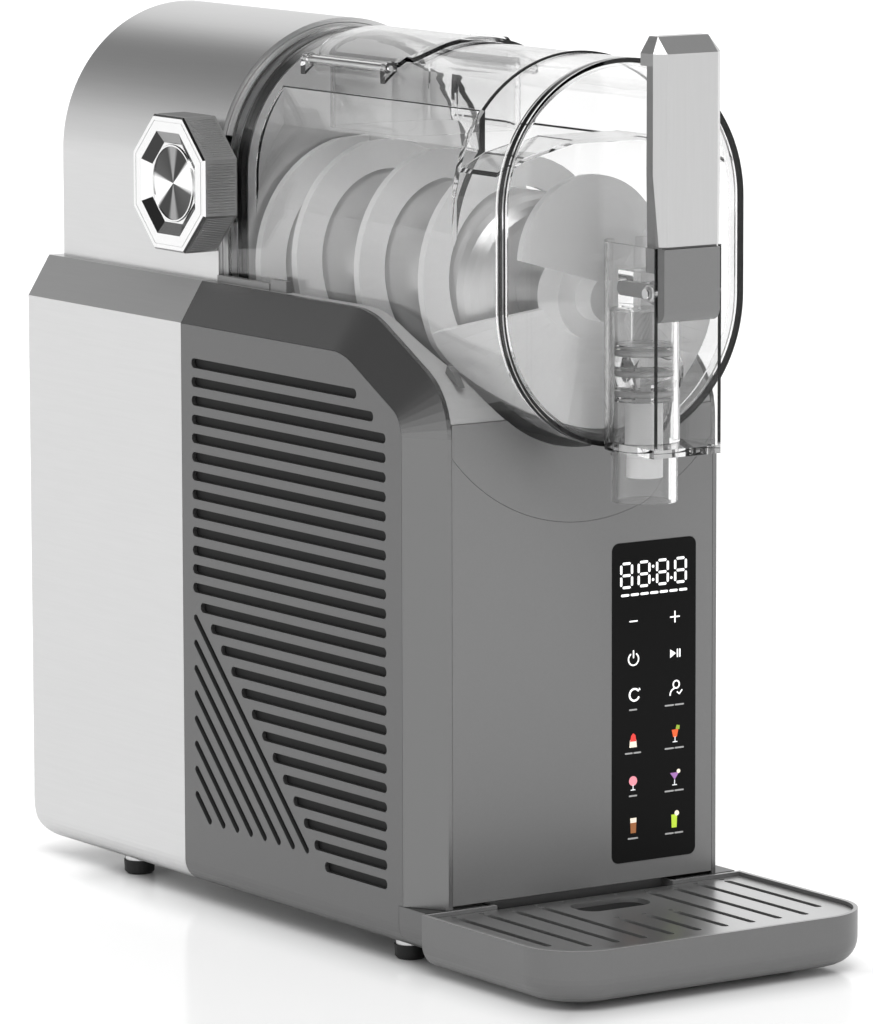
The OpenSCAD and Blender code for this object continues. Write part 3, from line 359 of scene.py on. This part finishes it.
def drinks():
    """Six small pictures of glasses: each is a list of (colour, outline)."""
    red, pink = (0.75, 0.05, 0.04), (0.8, 0.3, 0.36)
    cream, brown = (0.85, 0.78, 0.66), (0.32, 0.12, 0.04)
    orange, green, lime = (0.8, 0.12, 0.03), (0.3, 0.42, 0.04), (0.5, 0.7, 0.05)
    violet, glass = (0.35, 0.16, 0.42), (0.8, 0.82, 0.84)
    stem = [(-0.25, -3.4), (0.25, -3.4), (0.25, -1.0), (-0.25, -1.0)]
    foot = [(-1.5, -3.9), (1.5, -3.9), (1.3, -3.4), (-1.3, -3.4)]
    pictures = [
        (30.0, 105.4, [(cream, [(-2.3, -3.6), (2.3, -3.6), (1.9, 0.2), (-1.9, 0.2)]),
                       (red, [(-1.9, -0.6), (1.9, -0.6), (1.4, 2.6), (0.0, 3.6), (-1.2, 2.4)])]),
        (56.0, 105.7, [(orange, [(-1.1, -1.2), (1.1, -1.2), (2.0, 2.6), (-2.0, 2.6)]),
                       (glass, stem), (glass, foot),
                       (green, [(0.4, 2.8), (2.6, 2.6), (2.8, 4.6), (1.0, 4.9)])]),
        (30.0, 83.7, [(pink, arc(0, 0.9, 2.5, 0, 345, 14)), (glass, stem), (glass, foot)]),
        (55.8, 83.6, [(violet, [(0.0, -1.0), (2.8, 2.6), (-2.8, 2.6)]), (glass, stem),
                      (glass, foot), (cream, arc(2.4, 3.2, 1.1, 0, 330, 10))]),
        (30.2, 61.8, [(brown, [(-1.6, -3.9), (1.6, -3.9), (1.8, 1.4), (-1.8, 1.4)]),
                      (cream, [(-1.8, 1.4), (1.8, 1.4), (1.9, 3.8), (-1.9, 3.8)])]),
        (55.6, 61.9, [(lime, [(-1.5, -3.9), (1.5, -3.9), (1.8, 2.8), (-1.8, 2.8)]),
                      (cream, arc(1.6, 3.4, 1.4, 0, 330, 10))]),
    ]
    for i, (cx, cz, layers) in enumerate(pictures):
        for k, (color, outline) in enumerate(layers):
            mat = material(f"drink_{i}_{k}", (*color, 1), 0.5, glow=0.5)
            panel_print(f"drink_{i}_{k}", [shifted(outline, cx, cz)], mat, lift=0.02 * k)


display()
keys()
drinks()

# ---- painted shade: dark sheets behind the side vents ----

def vent_painted_shades():
    """A thin dark sheet behind the slots of each side panel, as painted shade for the inside seen
    through the vents.
    """
    dark = material("vent_painted_shade", grey(0.012), 0.7)
    thick = 0.5
    outline = [(30, 36), (222, 36), (222, 290), (58, 290), (30, 270)]
    n = len(outline)
    for name, x0 in (("vent_painted_shade_left", -92.3), ("vent_painted_shade_right", 91.8)):
        verts = [at(x0 + dx, y, z) for dx in (0, thick) for y, z in outline]
        faces = [list(range(n - 1, -1, -1)), list(range(n, 2 * n))]
        faces += [[i, (i + 1) % n, n + (i + 1) % n, n + i] for i in range(n)]
        add_mesh(name, verts, faces, dark, "body")


vent_painted_shades()

# ---- seal over the vault ----

def vault_seal():
    """The black seal over the vault where the front part of the vessel begins."""
    centre_z, radius, half_width = 380.4, 72.3, 55.5
    rear, width, proud, steps = 7.3, 1.7, 0.9, 48
    reach = math.asin(half_width / radius)
    section = ((radius, rear - width), (radius + proud, rear - width), (radius + proud, rear),
               (radius, rear))
    verts = []
    for i in range(steps + 1):
        a = reach * (2 * i / steps - 1)
        verts += [at(r * math.sin(a), y, centre_z + r * math.cos(a)) for r, y in section]
    add_mesh("vault_seal", verts, band(verts, closed=False), MATERIALS["black_rubber"],
             "vessel_assembly")


# ---- knob: ribs round the rim, spun disc with a painted reflection, sloping facets with painted light and shade ----

KNOB = (234.9, 375.1)  # its axis, in Y and Z
KNOB_FACE = -97
KNOB_FLATS = 70
KNOB_SIDE = material("knob_side", grey(0.42), 0.3, 0.9)


def knob_ribs():
    """Fine ribs along the eight side faces of the knob."""
    pitch, half_rib, proud, sunk, margin = 1.45, 0.45, 0.35, 0.1, 2
    side = KNOB_FLATS * math.tan(math.radians(22.5))
    count = int((side - margin) / pitch)
    profile = ((-half_rib, -sunk), (0, proud), (half_rib, -sunk))
    ends = (KNOB_FACE + 2.4, KNOB_FACE + 18.5)
    verts, faces = [], []
    for k in range(8):
        turn = math.radians(45 * k)
        out = Vector((0, math.cos(turn), math.sin(turn)))
        along = Vector((0, -math.sin(turn), math.cos(turn)))
        for i in range(count):
            mid = (i - (count - 1) / 2) * pitch
            a = len(verts)
            for x in ends:
                for offset, height in profile:
                    p = out * (KNOB_FLATS / 2 + height) + along * (mid + offset)
                    verts.append(at(x, KNOB[0] + p.y, KNOB[1] + p.z))
            faces += [[a, a + 1, a + 4, a + 3], [a + 1, a + 2, a + 5, a + 4],
                      [a + 2, a, a + 3, a + 5], [a, a + 2, a + 1], [a + 3, a + 4, a + 5]]
    add_mesh("knob_ribs", verts, faces, KNOB_SIDE, "knob")


def knob_ring():
    """The thin raised ring round the disc."""
    x0, x1, r0, r1, steps = KNOB_FACE + 2.5, KNOB_FACE + 3.4, 19.1, 19.8, 64
    verts = []
    for i in range(steps):
        a = 2 * math.pi * i / steps
        verts += [at(x, KNOB[0] + r * math.cos(a), KNOB[1] + r * math.sin(a))
                  for x, r in ((x0, r0), (x0, r1), (x1, r1), (x1, r0))]
    add_mesh("knob_ring", verts, band(verts, closed=True), MATERIALS["knob_metal"], "knob")


def knob_disc_painted_reflection():
    """Painted reflection: bright and dark wedges round the centre, like the light a turned disc
    reflects.
    """
    mat = material("knob_disc_painted_reflection", grey(0.9), 0.22, 0.95)
    tree = mat.node_tree
    coords = add_node(tree, "TexCoord")
    split = add_node(tree, "SeparateXYZ")
    tree.links.new(coords.outputs["Object"], split.inputs["Vector"])
    centre = at(0, *KNOB)

    def offset(axis, value, sign):
        node = add_node(tree, "Math", {1: sign, 2: -sign * value}, "MULTIPLY_ADD")
        tree.links.new(split.outputs[axis], node.inputs[0])
        return node

    angle = add_node(tree, "Math", operation="ARCTAN2")
    tree.links.new(offset("Z", centre.z, 1).outputs[0], angle.inputs[0])
    tree.links.new(offset("Y", centre.y, -1).outputs[0], angle.inputs[1])
    turn = add_node(tree, "Math", {1: 1 / (2 * math.pi), 2: 0.5}, "MULTIPLY_ADD")
    tree.links.new(angle.outputs[0], turn.inputs[0])
    wedges = [(-180, 0.95), (-144, 0.95), (-136, 0.03), (-106, 0.03), (-97, 0.30), (-83, 0.30),
              (-72, 0.04), (-16, 0.08), (-6, 0.95), (36, 0.95), (44, 0.03), (74, 0.03),
              (83, 0.30), (97, 0.30), (108, 0.04), (164, 0.08), (174, 0.95), (180, 0.95)]
    ramp = grey_ramp(tree, [((degrees + 180) / 360, value) for degrees, value in wedges])
    tree.links.new(turn.outputs[0], ramp.inputs["Fac"])
    tree.links.new(ramp.outputs["Color"], tree.nodes["Principled BSDF"].inputs["Base Color"])
    return mat


def past_face(face, depth):
    """Whether a face of the knob lies further in than depth from its front."""
    return face.center.x > at(KNOB_FACE + depth, 0, 0).x


def facet_tilt(face):
    """Of a sloping facet: 0 towards the sides, 1 at a corner, 2 towards top or bottom."""
    if past_face(face, 0.3) and -0.97 < face.normal.x < -0.5:
        tilt = math.atan2(abs(face.normal.z), abs(face.normal.y))
        return round(math.degrees(tilt) / 45)
    return None


def paint_knob_light_and_shade():
    """Facets round the disc with painted light and shade, bright at the sides and dark at the corners,
    and ribbed sides.
    """
    for wanted, value in enumerate((0.9, 0.05, 0.28)):
        paint_faces("lock_knob", material(f"dish_painted_light_and_shade_{wanted}", grey(value), 0.22, 0.95),
                    lambda face: facet_tilt(face) == wanted)
    paint_faces("lock_knob", KNOB_SIDE,
                lambda face: abs(face.normal.x) < 0.2 and past_face(face, 1.2))


knob_ribs()
vault_seal()
knob_ring()
nodes["knob_disc"].data.materials[0] = knob_disc_painted_reflection()
paint_knob_light_and_shade()

# ---- floor, world and light ----

def make_world():
    """Bright round the horizon and dark overhead, which shapes the metal surfaces."""
    world = bpy.data.worlds.new("studio")
    world.use_nodes = True
    tree = world.node_tree
    coords = add_node(tree, "TexCoord")
    split = add_node(tree, "SeparateXYZ")
    tree.links.new(coords.outputs["Generated"], split.inputs["Vector"])
    sky = grey_ramp(tree, [(0.0, 1.0), (0.16, 1.0), (0.32, 0.55), (0.45, 0.28), (0.58, 0.13),
                           (0.80, 0.2), (1.0, 0.6)])
    tree.links.new(split.outputs["Z"], sky.inputs["Fac"])
    # A bright wall behind the machine on its right.
    to_right = add_node(tree, "MapRange", {"From Min": 0.03, "From Max": 0.27})
    to_rear = add_node(tree, "MapRange", {"From Min": -0.1, "From Max": 0.3})
    wall = add_node(tree, "Math", operation="MULTIPLY")
    mix = add_node(tree, "Mix", {"B": grey(1.0)}, data_type="RGBA")
    tree.links.new(split.outputs["X"], to_right.inputs["Value"])
    tree.links.new(split.outputs["Y"], to_rear.inputs["Value"])
    tree.links.new(to_right.outputs["Result"], wall.inputs[0])
    tree.links.new(to_rear.outputs["Result"], wall.inputs[1])
    tree.links.new(wall.outputs[0], mix.inputs["Factor"])
    tree.links.new(sky.outputs["Color"], mix.inputs["A"])
    tree.links.new(mix.outputs["Result"], tree.nodes["Background"].inputs["Color"])
    bpy.context.scene.world = world


def paint_shadow_under_machine(mat, half_x, half_y, reach, full):
    """Painted shadow: fades a material's glow out within a box round the origin, as the shade under a
    machine.
    """
    tree = mat.node_tree
    place = add_node(tree, "NewGeometry")
    split = add_node(tree, "SeparateXYZ")
    tree.links.new(place.outputs["Position"], split.inputs["Vector"])
    furthest = add_node(tree, "Math", operation="MAXIMUM")
    for k, (axis, half) in enumerate((("X", half_x), ("Y", half_y))):
        size = add_node(tree, "Math", operation="ABSOLUTE")
        past = add_node(tree, "Math", {1: half}, "SUBTRACT")
        tree.links.new(split.outputs[axis], size.inputs[0])
        tree.links.new(size.outputs[0], past.inputs[0])
        tree.links.new(past.outputs[0], furthest.inputs[k])
    fade = add_node(tree, "MapRange", {"From Min": -reach / 2, "From Max": reach, "To Max": full})
    fade.interpolation_type = "SMOOTHSTEP"
    tree.links.new(furthest.outputs[0], fade.inputs["Value"])
    shader = tree.nodes["Principled BSDF"]
    tree.links.new(fade.outputs["Result"], shader.inputs["Emission Strength"])


def make_stage():
    """A pale, slightly glowing floor, with a painted shadow under the machine."""
    glow = 0.42
    bpy.ops.mesh.primitive_plane_add(size=60, location=(0, 0, 0))
    floor = bpy.context.object
    floor.name = "floor"
    mat = material("floor", grey(0.9), 0.14, glow=glow, mottle=0.002)
    paint_shadow_under_machine(mat, half_x=0.088, half_y=0.245, reach=0.04, full=glow)
    floor.data.materials.append(mat)


def sun(name, direction, angle, strength):
    """A soft distant light; the angle is its apparent size in degrees."""
    data = bpy.data.lights.new(name, "SUN")
    data.angle = math.radians(angle)
    data.energy = strength
    lamp = bpy.data.objects.new(name, data)
    bpy.context.scene.collection.objects.link(lamp)
    lamp.rotation_euler = Vector(direction).to_track_quat("-Z", "Y").to_euler()


make_world()
make_stage()
sun("key", direction=(0.35, 0.5, -1), angle=40, strength=1.6)
bpy.context.scene.view_settings.view_transform = "Standard"
